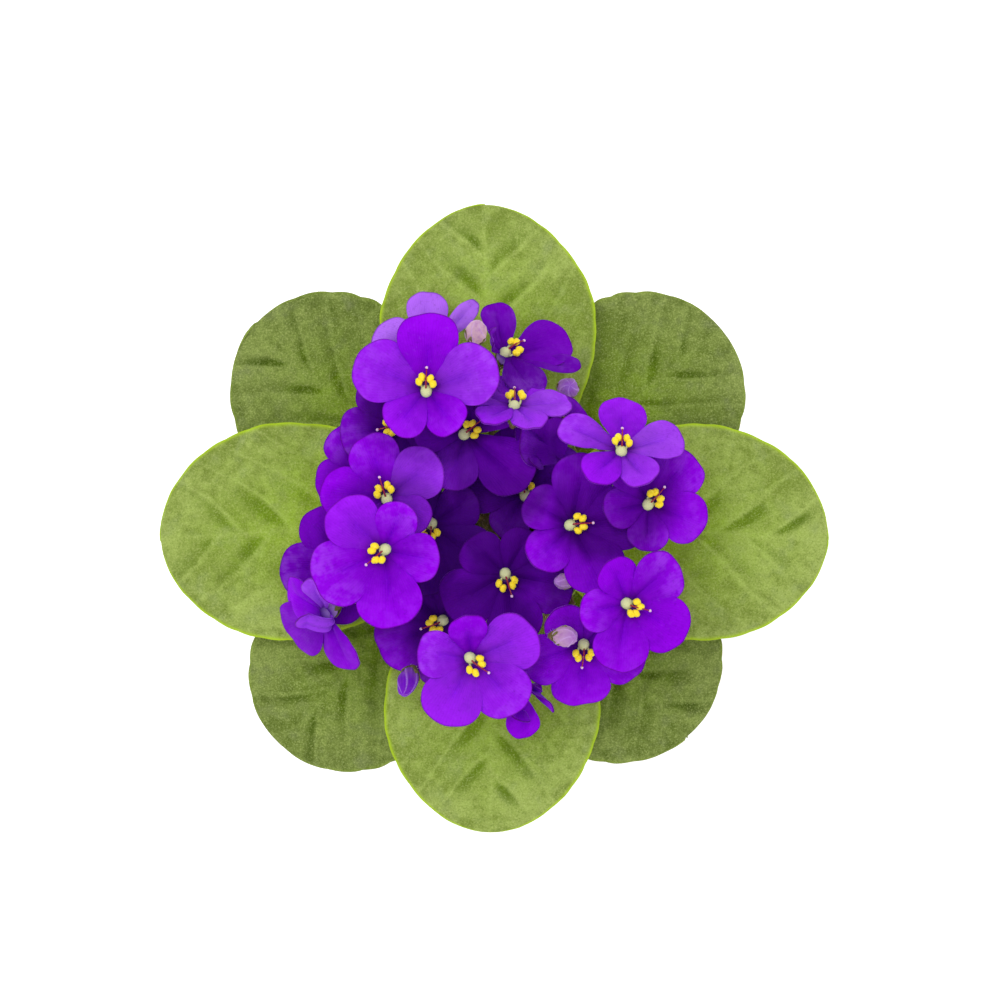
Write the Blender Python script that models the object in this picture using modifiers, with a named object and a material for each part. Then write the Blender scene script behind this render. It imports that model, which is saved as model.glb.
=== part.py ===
"""A potted African violet: clay pot, potting mix, crown, leaves, flower stalks, corollas and buds.

Lengths are in millimetres in this file, and each mesh is scaled to metres as it is made. The origin is the
middle of the pot's underside, +Z is up, and headings are degrees from +X towards +Y.
"""

import math
from collections import namedtuple

import bmesh
import bpy
from mathutils import Matrix, Vector

MM = 0.001
GAP = 0.3  # clearance between neighbouring solids

# Pot
POT_HEIGHT = 80.0
POT_RIM_RADIUS = 46.0
POT_COLLAR_HEIGHT = 20.0
POT_COLLAR_STEP = 2.5
POT_BASE_RADIUS = 31.0
POT_WALL = 4.5
POT_FLOOR = 6.0
DRAIN_RADIUS = 6.0
POT_EDGE = 1.0
TURNED_STEPS = 40

# Potting mix and crown
SOIL_TOP = 67.0
SOIL_MOUND = 4.0
SOIL_MOUND_RADIUS = 20.0
CROWN_RADIUS = 5.6
CROWN_TOP = 88.0
CROWN_SHOULDER = 1.5
ROOT_STOCK_DEPTH = 15.0

# Leaves
LEAF_SIDES = 12
LEAF_STATIONS = 12
PETIOLE_SHARE = 0.25  # of the stations
PETIOLE_RADIUS = 2.0
YOUNG_PETIOLE_RADIUS = 1.0
BLADE_HALF_THICKNESS = 0.75
EDGE_HALF_THICKNESS = 0.3
WIDEST_SHARE = 0.56  # how far along the blade it is widest
TIP_CROWDING = 1.7  # draws the stations together near the tip
SLOPE_STEP = 0.01  # how far each way along the leaf its slope is taken
SLIM_SHARE = 0.2  # of the blade, over which it thins from the petiole's thickness

# Corollas. Lobe headings turn from the lip lobe
LOBES = ((0.0, 20.5), (70.0, 20.0), (142.0, 15.2), (218.0, 15.2), (290.0, 20.0))  # heading, length
NOTCH_SHARE = 0.5
LOBE_HALF_SWEEP = 36.0  # degrees
LOBE_ROUNDNESS = 0.6
LOBE_SEGMENTS = 4
MID_RING = 0.62
PETAL_THICKNESS = 0.6
CUP_RADIUS = 20.0  # where a corolla has risen by its cup
THROAT_RADIUS = 2.1
TUBE_RADIUS = 2.3
TUBE_LENGTH = 4.0
THROAT_DEPTH = 1.2
FLARE_DEPTH = 1.5  # where the tube opens into the lobes

# Stalks
PEDUNCLE_RADIUS = 1.2
KNUCKLE_RADIUS = 1.5  # where a peduncle forks
PEDICEL_RADIUS = 0.75
STALK_RING = 3.7  # the stalks' feet stand on a ring this wide on the crown
CALYX_RADIUS = 1.9
CALYX_LENGTH = 3.0
CALYX_SIDES = 8
CALYX_ENTRY = 0.5  # how far down its calyx a pedicel ends, as a share
STALK_POINTS = 6
WELD = 0.001
PEDUNCLE_RISE = 8.0  # how far a peduncle goes straight up at its foot and under its fork
ARRIVAL = 6.0  # how far below a calyx its pedicel turns into the flower's axis

Leaf = namedtuple("Leaf", "heading reach width root_z base_r base_z mid_z tip_z droop petiole tip material")
Bloom = namedtuple("Bloom", "x y z lean toward lip size cup stalk via")
Bud = namedtuple("Bud", "x y z lean toward length radius stalk via")
Stalk = namedtuple("Stalk", "root fork_x fork_y fork_z")

BUD_SIDES = 10
BUD_ROWS = 6
BUD_TAPER = 0.25

# How a blade narrows beyond its widest: (1 - share ** power) ** root
POINTED_TIP = (1.65, 0.53)
BROAD_TIP = (1.85, 0.52)
ROUND_TIP = (2.0, 0.5)
UPPER = dict(
    width=62.5, root_z=84.5, base_r=15.0, base_z=94.0, mid_z=98.5, tip_z=92.5, droop=3.0,
    petiole=PETIOLE_RADIUS, material="upper_leaf",
)
LOWER = dict(
    width=61.0, root_z=77.0, base_r=18.0, base_z=84.5, mid_z=89.5, tip_z=85.5, droop=2.4,
    petiole=PETIOLE_RADIUS, tip=ROUND_TIP, material="lower_leaf",
)
YOUNG = dict(
    reach=31.0, width=17.0, root_z=86.2, base_r=14.0, base_z=96.0, mid_z=100.5, tip_z=103.0, droop=-1.5,
    petiole=YOUNG_PETIOLE_RADIUS, tip=POINTED_TIP, material="young_leaf",
)

LEAVES = {
    "leaf_east": Leaf(heading=-3.8, reach=96.8, tip=BROAD_TIP, **UPPER),
    "leaf_north": Leaf(heading=92.0, reach=91.0, tip=POINTED_TIP, **UPPER),
    "leaf_west": Leaf(heading=183.4, reach=97.0, tip=BROAD_TIP, **UPPER),
    "leaf_south": Leaf(heading=269.2, reach=91.0, tip=POINTED_TIP, **UPPER),
    "leaf_north_east": Leaf(heading=40.0, reach=86.3, **LOWER),
    "leaf_north_west": Leaf(heading=142.5, reach=90.0, **LOWER),
    "leaf_south_west": Leaf(heading=226.5, reach=91.0, **LOWER),
    "leaf_south_east": Leaf(heading=311.5, reach=85.0, **LOWER),
    "young_leaf_1": Leaf(heading=46.0, **YOUNG),
    "young_leaf_2": Leaf(heading=137.0, **YOUNG),
    "young_leaf_3": Leaf(heading=226.0, **YOUNG),
    "young_leaf_4": Leaf(heading=315.0, **YOUNG),
}

# Each stalk leaves the crown at its root heading and forks into pedicels at its fork.
STALKS = {
    "flower_stalk_north_west": Stalk(135.0, -11.0, 23.0, 113.0),
    "flower_stalk_north": Stalk(80.0, 7.0, 25.0, 112.0),
    "flower_stalk_east": Stalk(28.0, 21.0, 9.0, 112.0),
    "flower_stalk_south_east": Stalk(-30.0, 20.0, -15.0, 112.0),
    "flower_stalk_south": Stalk(-85.0, 0.0, -23.0, 112.0),
    "flower_stalk_south_west": Stalk(-135.0, -15.0, -17.0, 112.0),
    "flower_stalk_west": Stalk(180.0, -21.0, 3.0, 113.0),
}

COROLLAS = {
    "corolla_01": Bloom(-18.6, 35.8, 150, 6, 110, 88, 1.04, 1.5, "north_west", (-19, 37, 132)),
    "corolla_02": Bloom(3.5, 46.8, 127, 45, 60, 20, 0.92, 3.0, "north", (2, 38, 114)),
    "corolla_03": Bloom(5.6, 31.6, 141, 60, 85, 80, 0.82, 1.0, "north", (18, 44, 132)),
    "corolla_04": Bloom(34.8, 19.1, 151, 38, 80, 85, 0.90, 1.0, "north", (9, 46, 128)),
    "corolla_05": Bloom(43.0, 4.6, 139.5, 15, 10, 48, 0.88, 2.0, "east", (42, 6, 122)),
    "corolla_06": Bloom(-7.9, 24.1, 129, 6, 60, 32, 0.90, 2.0, "north_west", (-9, 24, 118)),
    "corolla_07": Bloom(8.6, 7.2, 117, 6, 90, 100, 0.80, 2.0, "east", (12, 8, 110)),
    "corolla_08": Bloom(-30.0, 6.2, 138, 4, 120, 106, 0.92, 2.0, "west", (-14, 1, 104)),
    "corolla_09": Bloom(-17.9, -1.8, 124, 8, 300, 252, 0.85, 3.0, "west", (-18, -2, 114)),
    "corolla_10": Bloom(-30.4, -8.4, 150, 8, 210, 207, 1.04, 1.5, "west", (-34, -14, 106)),
    "corolla_11": Bloom(21.7, -1.5, 137, 6, 60, 8, 1.00, 2.0, "east", (24, 2, 120)),
    "corolla_12": Bloom(3.2, -15.8, 127, 10, 280, 279, 0.92, 2.0, "south", (3, -18, 118)),
    "corolla_13": Bloom(-15.1, -28.9, 118, 14, 220, 205, 0.95, 2.5, "south_west", (-15, -26, 113)),
    "corolla_14": Bloom(-6.2, -38.4, 146, 12, 265, -46, 0.98, 1.5, "south", (-3, -31, 132)),
    "corolla_15": Bloom(37.0, -23.4, 143, 18, -30, -29, 0.92, 2.0, "south_east", (34, -20, 122)),
    "corolla_16": Bloom(24.9, -35.3, 132, 28, -80, -92, 0.88, 2.0, "south_east", (24, -32, 118)),
    "corolla_17": Bloom(-18.6, 47.5, 121, 20, 90, 105, 0.80, 3.0, "north_west", (-20, 40, 116)),
    "corolla_18": Bloom(-47.5, -26.5, 130, 60, 215, 235, 0.80, 1.0, "south_west", (-35, -26, 116)),
    "corolla_19": Bloom(-27.1, 26.3, 124, 10, 150, 190, 0.80, 2.5, "north_west", (-24, 26, 115)),
    "corolla_20": Bloom(-36.5, 12.5, 118, 12, 170, 120, 0.76, 2.5, "west", (-34, 8, 116)),
    "corolla_21": Bloom(14.5, 19.6, 124, 15, 60, 60, 0.75, 3.0, "north", (23, 22, 126)),
    "corolla_22": Bloom(7.2, -48.8, 119, 30, -80, -70, 0.80, 4.0, "south", (6, -40, 115)),
    "corolla_23": Bloom(-42.0, -12.5, 120, 10, 200, 190, 0.85, 3.0, "west", (-34, -8, 111)),
}

BUDS = {
    "bud_north": Bud(-4.9, 51.8, 142, 45, 80, 8.0, 2.9, "north", (-8, 46, 104)),
    "bud_north_east": Bud(20.8, 36.9, 120, 15, 60, 7.5, 3.2, "north", (16, 32, 112)),
    "bud_centre": Bud(19.4, -17.2, 135, 40, 180, 7.5, 2.6, "south_east", (19, -17, 116)),
    "bud_south_east": Bud(19.7, -32.3, 143, 35, 0, 9.0, 3.4, "south_east", (13, -26, 112)),
    "bud_south_west": Bud(-24.5, -46.0, 122, 35, 250, 10.0, 3.0, "south_west", (-24, -52, 116)),
}

MATERIALS = {
    "clay": ((0.62, 0.27, 0.15, 1), 0.85),
    "potting_mix": ((0.045, 0.028, 0.018, 1), 0.95),
    "crown": ((0.25, 0.30, 0.10, 1), 0.75),
    "upper_leaf": ((0.26, 0.38, 0.08, 1), 0.75),
    "lower_leaf": ((0.17, 0.24, 0.05, 1), 0.78),
    "young_leaf": ((0.28, 0.42, 0.10, 1), 0.75),
    "stalk": ((0.28, 0.20, 0.12, 1), 0.70),
    "petal": ((0.22, 0.01, 0.75, 1), 0.60),
    "bud": ((0.50, 0.25, 0.50, 1), 0.60),
}


def clear_scene():
    for obj in list(bpy.data.objects):
        bpy.data.objects.remove(obj, do_unlink=True)


def make_collection(name, parent=None):
    collection = bpy.data.collections.new(name)
    (parent or bpy.context.scene.collection).children.link(collection)
    return collection


def make_materials():
    made = {}
    for name, (color, roughness) in MATERIALS.items():
        material = bpy.data.materials.new(name)
        material.use_nodes = True
        shader = material.node_tree.nodes["Principled BSDF"]
        shader.inputs["Base Color"].default_value = color
        shader.inputs["Roughness"].default_value = roughness
        shader.inputs["Metallic"].default_value = 0.0
        material.diffuse_color = color
        made[name] = material
    return made


def finish_bmesh(bm, name, collection, material=None):
    """Turns a bmesh in millimetres into an object in metres."""
    bmesh.ops.scale(bm, vec=Vector((MM, MM, MM)), verts=bm.verts)
    bmesh.ops.recalc_face_normals(bm, faces=bm.faces)
    mesh = bpy.data.meshes.new(name)
    bm.to_mesh(mesh)
    bm.free()
    mesh.shade_smooth()
    mesh.set_sharp_from_angle(angle=math.radians(40))
    if material:
        mesh.materials.append(material)
    obj = bpy.data.objects.new(name, mesh)
    collection.objects.link(obj)
    return obj


def turned(name, profile, collection, material):
    """A solid of revolution from (radius, height) points that run down its outer side."""
    mesh = bpy.data.meshes.new(name)
    points = [(radius * MM, 0.0, height * MM) for radius, height in profile]
    edges = [(i, i + 1) for i in range(len(points) - 1)]
    if profile[0][0] > 0:
        edges.append((len(points) - 1, 0))
    mesh.from_pydata(points, edges, [])
    mesh.materials.append(material)
    obj = bpy.data.objects.new(name, mesh)
    collection.objects.link(obj)
    screw = obj.modifiers.new("turn", "SCREW")
    screw.steps = TURNED_STEPS
    screw.render_steps = TURNED_STEPS
    screw.use_merge_vertices = True
    screw.merge_threshold = 0.00001
    screw.use_smooth_shade = True
    return obj


def wall_radius(height, inset):
    """The pot's outer radius below the collar at a height, less an inset."""
    top = POT_RIM_RADIUS - POT_COLLAR_STEP
    return POT_BASE_RADIUS + (top - POT_BASE_RADIUS) * height / POT_HEIGHT - inset


def make_pot(collection, material):
    collar_foot = POT_HEIGHT - POT_COLLAR_HEIGHT
    profile = [
        (POT_RIM_RADIUS, POT_HEIGHT),
        (POT_RIM_RADIUS - 1.0, collar_foot),
        (wall_radius(collar_foot, 0.0), collar_foot),
        (POT_BASE_RADIUS, 0.0),
        (DRAIN_RADIUS, 0.0),
        (DRAIN_RADIUS, POT_FLOOR),
        (wall_radius(POT_FLOOR, POT_WALL), POT_FLOOR),
        (wall_radius(POT_HEIGHT, POT_WALL), POT_HEIGHT),
    ]
    pot = turned("pot", profile, collection, material)
    bevel = pot.modifiers.new("soften", "BEVEL")
    bevel.width = POT_EDGE * MM
    bevel.segments = 1
    bevel.limit_method = "ANGLE"
    bevel.angle_limit = math.radians(40)
    return pot


def make_soil(collection, material):
    socket = CROWN_RADIUS + GAP
    mound = SOIL_TOP + SOIL_MOUND
    floor = POT_FLOOR + GAP
    profile = [
        (0.0, mound - ROOT_STOCK_DEPTH - GAP),
        (socket, mound - ROOT_STOCK_DEPTH - GAP),
        (socket, mound),
        (SOIL_MOUND_RADIUS, SOIL_TOP + SOIL_MOUND / 2),
        (wall_radius(SOIL_TOP, POT_WALL + GAP), SOIL_TOP),
        (wall_radius(floor, POT_WALL + GAP + POT_EDGE), floor),
        (0.0, floor),
    ]
    return turned("potting_mix", profile, collection, material)


def make_crown(collection, material):
    profile = [
        (0.0, CROWN_TOP),
        (CROWN_RADIUS - CROWN_SHOULDER, CROWN_TOP),
        (CROWN_RADIUS, CROWN_TOP - CROWN_SHOULDER),
        (CROWN_RADIUS, SOIL_TOP + SOIL_MOUND - ROOT_STOCK_DEPTH),
        (0.0, SOIL_TOP + SOIL_MOUND - ROOT_STOCK_DEPTH),
    ]
    return turned("crown", profile, collection, material)


def blade_outline(along, tip):
    """Half the blade's width, as a share of the widest, at a share of its length."""
    if along <= WIDEST_SHARE:
        return math.sqrt(max(0.0, 1 - (1 - along / WIDEST_SHARE) ** 2))
    beyond = (along - WIDEST_SHARE) / (1 - WIDEST_SHARE)
    power, root = tip
    return max(0.0, 1 - beyond**power) ** root


def leaf_spine(leaf, station):
    """(distance out, height, share along the blade or None) of the leaf's middle line at a station from 0 to 1."""
    root_r = CROWN_RADIUS + GAP + leaf.petiole
    if station < PETIOLE_SHARE:
        share = station / PETIOLE_SHARE
        out = root_r + (leaf.base_r - root_r) * share
        return out, leaf.root_z + (leaf.base_z - leaf.root_z) * share, None
    share = (station - PETIOLE_SHARE) / (1 - PETIOLE_SHARE)
    along = 1 - (1 - share) ** TIP_CROWDING
    start, middle, end = leaf.base_z, leaf.mid_z, leaf.tip_z
    height = start * (1 - along) * (1 - 2 * along) + 4 * middle * along * (1 - along) + end * along * (2 * along - 1)
    return leaf.base_r + (leaf.reach - leaf.base_r) * along, height, along


def leaf_section(leaf, along):
    """(half width, half thickness) at a share along the blade, or of the petiole when that is None."""
    if along is None:
        return leaf.petiole, leaf.petiole
    half_width = leaf.width / 2 * blade_outline(along, leaf.tip)
    slim = min(1.0, along / SLIM_SHARE)
    thickness = leaf.petiole + (BLADE_HALF_THICKNESS - leaf.petiole) * slim
    return max(leaf.petiole * (1 - along), half_width, EDGE_HALF_THICKNESS), thickness


def make_leaf(name, leaf, collection, material):
    """A round petiole that widens into a thin, arched blade, shaped from one cylinder."""
    bm = bmesh.new()
    bmesh.ops.create_cone(
        bm, cap_ends=True, cap_tris=True, segments=LEAF_SIDES, radius1=1.0, radius2=1.0, depth=1.0
    )
    sides = [edge for edge in bm.edges if abs(edge.verts[0].co.z - edge.verts[1].co.z) > 0.5]
    bmesh.ops.subdivide_edges(bm, edges=sides, cuts=LEAF_STATIONS - 1)
    heading = Matrix.Rotation(math.radians(leaf.heading), 3, "Z")
    for vert in bm.verts:
        station = vert.co.z + 0.5
        out, height, along = leaf_spine(leaf, station)
        before = leaf_spine(leaf, max(0.0, station - SLOPE_STEP))
        after = leaf_spine(leaf, min(1.0, station + SLOPE_STEP))
        slope = math.atan2(after[1] - before[1], after[0] - before[0])
        half_width, half_thickness = leaf_section(leaf, along)
        across = half_width * vert.co.x
        drop = 0.0 if along is None else leaf.droop * (2 * across / leaf.width) ** 2
        lift = half_thickness * vert.co.y - drop
        vert.co = heading @ Vector((out - lift * math.sin(slope), across, height + lift * math.cos(slope)))
    return finish_bmesh(bm, name, collection, material)


def corolla_reach(bloom, turn):
    """How far the corolla reaches from its throat at a turn, in degrees, from its lip lobe."""
    best = 0.0
    for heading, length in LOBES:
        away = abs((turn - heading + 180) % 360 - 180)
        share = math.cos(math.radians(90 * min(away, LOBE_HALF_SWEEP) / LOBE_HALF_SWEEP))
        swell = NOTCH_SHARE + (1 - NOTCH_SHARE) * max(0.0, share) ** LOBE_ROUNDNESS
        best = max(best, length * swell)
    return best * bloom.size


def corolla_rise(bloom, radius):
    return bloom.cup * (radius / CUP_RADIUS) ** 2


def corolla_rings(bloom, reach):
    """(radius, height) of each ring of a corolla, from the throat's floor over the rim to the tube's end."""
    half = PETAL_THICKNESS / 2
    middle = reach * MID_RING
    return (
        (0.0, -THROAT_DEPTH),
        (THROAT_RADIUS, half),
        (middle, corolla_rise(bloom, middle) + half),
        (reach, corolla_rise(bloom, reach)),
        (middle, corolla_rise(bloom, middle) - half),
        (TUBE_RADIUS, -FLARE_DEPTH),
        (0.0, -TUBE_LENGTH),
    )


def attitude(bloom):
    """Leans the flower's axis from upright and turns its lip lobe to its heading."""
    toward = Matrix.Rotation(math.radians(bloom.toward), 3, "Z")
    lean = Matrix.Rotation(math.radians(bloom.lean), 3, "Y")
    lip = Matrix.Rotation(math.radians(bloom.lip - bloom.toward), 3, "Z")
    return toward @ lean @ lip


def make_corolla(name, bloom, collection, material):
    """A five-lobed, cupped disc with a short tube behind it, shaped from one ball."""
    rings = 6
    bm = bmesh.new()
    bmesh.ops.create_uvsphere(bm, u_segments=LOBE_SEGMENTS * 5, v_segments=rings, radius=1.0)
    turned_to = attitude(bloom)
    place = Vector((bloom.x, bloom.y, bloom.z))
    for vert in bm.verts:
        ring = round(math.acos(max(-1.0, min(1.0, vert.co.z))) / math.pi * rings)
        turn = math.atan2(vert.co.y, vert.co.x)
        radius, height = corolla_rings(bloom, corolla_reach(bloom, math.degrees(turn)))[ring]
        local = Vector((radius * math.cos(turn), radius * math.sin(turn), height))
        vert.co = place + turned_to @ local
    return finish_bmesh(bm, name, collection, material)


def axis_of(flower):
    lean = math.radians(flower.lean)
    toward = math.radians(flower.toward)
    return Vector((math.sin(lean) * math.cos(toward), math.sin(lean) * math.sin(toward), math.cos(lean)))


def make_bud(name, bud, collection, material):
    """A closed bud: an egg that narrows towards its tip."""
    bm = bmesh.new()
    bmesh.ops.create_uvsphere(bm, u_segments=BUD_SIDES, v_segments=BUD_ROWS, radius=1.0)
    turned_to = axis_of(bud).to_track_quat("Z", "Y").to_matrix()
    place = Vector((bud.x, bud.y, bud.z))
    for vert in bm.verts:
        narrow = 1 - BUD_TAPER * (vert.co.z + 1) / 2
        local = Vector((vert.co.x * narrow, vert.co.y * narrow, 0)) * bud.radius
        local.z = vert.co.z * bud.length / 2
        vert.co = place + turned_to @ local
    return finish_bmesh(bm, name, collection, material)


def bow(start, pull, arrival, end):
    """Points along a curve that leaves start towards pull and comes from arrival into end."""
    points = []
    for step in range(STALK_POINTS):
        share = step / (STALK_POINTS - 1)
        rest = 1 - share
        point = start * rest**3 + pull * 3 * rest**2 * share + arrival * 3 * rest * share**2 + end * share**3
        points.append(point)
    return points


def tube(name, points, radius, collection):
    """A tube along points, as a welded mesh."""
    curve = bpy.data.curves.new(name, "CURVE")
    curve.dimensions = "3D"
    curve.bevel_depth = radius * MM
    curve.bevel_resolution = 1
    curve.use_fill_caps = True
    spline = curve.splines.new("POLY")
    spline.points.add(len(points) - 1)
    for slot, point in zip(spline.points, points):
        slot.co = (*(point * MM), 1.0)
    guide = bpy.data.objects.new(name + "_guide", curve)
    collection.objects.link(guide)
    bpy.context.view_layer.update()
    graph = bpy.context.evaluated_depsgraph_get()
    mesh = bpy.data.meshes.new_from_object(guide.evaluated_get(graph))
    bpy.data.objects.remove(guide, do_unlink=True)
    bm = bmesh.new()
    bm.from_mesh(mesh)
    bmesh.ops.remove_doubles(bm, verts=bm.verts, dist=WELD * MM)
    bmesh.ops.recalc_face_normals(bm, faces=bm.faces)
    bm.to_mesh(mesh)
    bm.free()
    mesh.name = name
    obj = bpy.data.objects.new(name, mesh)
    collection.objects.link(obj)
    return obj


def make_calyx(name, tip, axis, collection):
    """The flared end of a pedicel, a little below the flower that it holds."""
    bm = bmesh.new()
    middle = tip - axis * (CALYX_LENGTH / 2)
    place = Matrix.Translation(middle) @ axis.to_track_quat("Z", "Y").to_matrix().to_4x4()
    bmesh.ops.create_cone(
        bm, cap_ends=True, segments=CALYX_SIDES, radius1=PEDICEL_RADIUS, radius2=CALYX_RADIUS,
        depth=CALYX_LENGTH, matrix=place,
    )
    return finish_bmesh(bm, name, collection)


def as_helper(obj):
    obj.hide_render = True
    obj.display_type = "WIRE"


def carried_by(stalk_name):
    """(name, flower, depth) of every corolla and bud on a stalk. The depth is from its place to its lowest point."""
    side = stalk_name.removeprefix("flower_stalk_")
    blooms = [(name, bloom, TUBE_LENGTH) for name, bloom in COROLLAS.items() if bloom.stalk == side]
    return blooms + [(name, bud, bud.length / 2) for name, bud in BUDS.items() if bud.stalk == side]


def pedicel_route(fork, flower, depth):
    """(tip of the calyx, points of the pedicel from the fork into the calyx)."""
    axis = axis_of(flower)
    tip = Vector((flower.x, flower.y, flower.z)) - axis * (depth + GAP)
    end = tip - axis * (CALYX_LENGTH * CALYX_ENTRY)
    return tip, bow(fork, Vector(flower.via), tip - axis * ARRIVAL, end)


def make_stalk(name, stalk, collection, helpers, material):
    """A peduncle that forks into one pedicel and calyx for each flower, joined into one body."""
    root = math.radians(stalk.root)
    foot = Vector((STALK_RING * math.cos(root), STALK_RING * math.sin(root), CROWN_TOP + GAP))
    fork = Vector((stalk.fork_x, stalk.fork_y, stalk.fork_z))
    rise = Vector((0, 0, PEDUNCLE_RISE))
    body = tube(name, bow(foot, foot + rise, fork - rise, fork), PEDUNCLE_RADIUS, collection)
    body.data.materials.append(material)
    joined = make_collection(name + "_branches", helpers)
    knuckle = bmesh.new()
    bmesh.ops.create_icosphere(knuckle, subdivisions=1, radius=KNUCKLE_RADIUS)
    bmesh.ops.translate(knuckle, verts=knuckle.verts, vec=fork)
    as_helper(finish_bmesh(knuckle, name + "_knuckle", joined))
    for flower_name, flower, depth in carried_by(name):
        tip, route = pedicel_route(fork, flower, depth)
        as_helper(tube(flower_name + "_pedicel", route, PEDICEL_RADIUS, joined))
        as_helper(make_calyx(flower_name + "_calyx", tip, axis_of(flower), joined))
    union = body.modifiers.new("branches", "BOOLEAN")
    union.operation = "UNION"
    union.operand_type = "COLLECTION"
    union.collection = joined
    union.solver = "EXACT"
    return body


def main():
    clear_scene()
    plant = make_collection("potted_african_violet")
    helpers = make_collection("helpers")
    materials = make_materials()
    make_pot(plant, materials["clay"])
    make_soil(plant, materials["potting_mix"])
    make_crown(plant, materials["crown"])
    for name, leaf in LEAVES.items():
        make_leaf(name, leaf, plant, materials[leaf.material])
    for name, stalk in STALKS.items():
        make_stalk(name, stalk, plant, helpers, materials["stalk"])
    for name, bloom in COROLLAS.items():
        make_corolla(name, bloom, plant, materials["petal"])
    for name, bud in BUDS.items():
        make_bud(name, bud, plant, materials["bud"])


main()
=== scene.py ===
import math
from collections import namedtuple

import bpy
import numpy as np
from mathutils import Matrix, Vector, noise


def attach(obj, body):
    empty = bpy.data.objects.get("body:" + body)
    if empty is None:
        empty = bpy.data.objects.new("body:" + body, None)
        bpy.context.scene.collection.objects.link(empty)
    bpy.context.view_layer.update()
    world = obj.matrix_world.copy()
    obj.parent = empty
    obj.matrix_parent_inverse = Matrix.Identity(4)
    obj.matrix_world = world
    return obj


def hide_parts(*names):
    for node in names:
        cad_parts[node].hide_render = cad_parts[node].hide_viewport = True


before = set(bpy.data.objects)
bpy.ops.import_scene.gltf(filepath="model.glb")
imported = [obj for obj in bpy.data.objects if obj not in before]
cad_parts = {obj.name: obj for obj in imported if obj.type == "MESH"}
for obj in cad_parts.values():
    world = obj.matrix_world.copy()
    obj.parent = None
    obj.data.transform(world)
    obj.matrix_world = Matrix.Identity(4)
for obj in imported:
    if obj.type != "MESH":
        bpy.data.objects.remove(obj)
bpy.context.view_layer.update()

# A potted african violet: eight broad leaves, four young ones and a head of violet flowers over a plain
# clay pot. Lengths are in millimetres until a point is set, and angles are in degrees.
MM = 0.001

# Pot, mix and crown
POT_HEIGHT = 80.0
RIM_RADIUS = 46.0
COLLAR_FOOT = 60.0
COLLAR_TAPER = 1.0
BASE_RADIUS = 31.0
WALL_TOP_RADIUS = 43.5
WALL = 4.5
FLOOR = 6.0
DRAIN_RADIUS = 6.0
CLAY_EDGE = 1.3  # how round the clay's edges are worn
TURNED_STEPS = 128
MIX_TOP = 67.0
MOUND = 4.0
MOUND_RADIUS = 20.0
CROWN_RADIUS = 5.6
CROWN_TOP = 88.0
ROOT_STOCK_DEPTH = 15.0
GAP = 0.3
SCAR_DEPTH = 0.35
CRUMBS = 620
PERLITE = 70

# Leaves
WIDEST_SHARE = 0.56
PETIOLE_SHARE = 0.34  # how far under the blade its petiole runs on as a rib
VEIN_FIRST = 0.03
VEIN_STEP = 0.185
VEIN_SLOPE, VEIN_CURVE = 0.40, 0.13  # how far toward the tip a side vein runs on its way to the rim
VEIN_SHIFT = 0.45  # the left side veins leave the midrib between the right ones
VEIN_SLANT = 0.70  # a slanting vein's true distance, as a share of its distance along the midrib
LAST_VEIN = 4.7
FULL_WIDTH = 62.0  # the blade width that the sizes of veins are given for
BLADE_THICKNESS = 0.95
SEED_OF_LEAVES = 41
Kind = namedtuple("Kind", "width root_z base_r base_z mid_z tip_z droop petiole teeth rim rows columns")
UPPER = Kind(62.5, 84.5, 15.0, 94.0, 98.5, 92.5, 3.0, 2.0, 0.22, 0.9, 140, 110)
LOWER = Kind(59.6, 77.0, 18.0, 84.5, 89.5, 85.5, 2.4, 2.0, 0.55, 0.45, 140, 110)
YOUNG = Kind(17.0, 86.2, 14.0, 96.0, 100.5, 103.0, -1.5, 1.0, 0.15, 0.7, 60, 40)
# How a blade narrows beyond its widest: (1 - share ** power) ** root
POINTED_TIP = (1.65, 0.53)
BROAD_TIP = (1.85, 0.52)
ROUND_TIP = (2.0, 0.5)
TIPS = {"leaf_east": BROAD_TIP, "leaf_west": BROAD_TIP, "leaf_north": POINTED_TIP, "leaf_south": POINTED_TIP}

# Leaf colours as they look on a screen. hollow is painted shade for the hollows where side veins leave the
# midrib, and it also tints the dark specks. rim is a painted highlight along the edge. base is the leaf's own
# yellow-green foot, brightened as painted light where the flowers' shadow falls
Tones = namedtuple("Tones", "light shade grey hollow vein rim base under")
UPPER_TONES = Tones(
    (165, 182, 98), (122, 139, 60), (144, 158, 98), (86, 108, 30),
    (186, 204, 116), (178, 212, 36), (154, 194, 24), (150, 160, 104),
)
LOWER_TONES = Tones(
    (138, 153, 82), (97, 113, 48), (120, 130, 84), (64, 82, 20),
    (150, 166, 92), (140, 164, 56), (124, 158, 6), (138, 140, 96),
)
YOUNG_TONES = Tones(
    (150, 176, 88), (128, 152, 66), (140, 158, 98), (98, 124, 36),
    (182, 202, 116), (172, 200, 70), (146, 182, 40), (156, 168, 110),
)

# The heading and length of a corolla's five lobes, the lip first
LOBES = ((0.0, 20.5), (70.0, 20.0), (142.0, 15.2), (218.0, 15.2), (290.0, 20.0))
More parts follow.
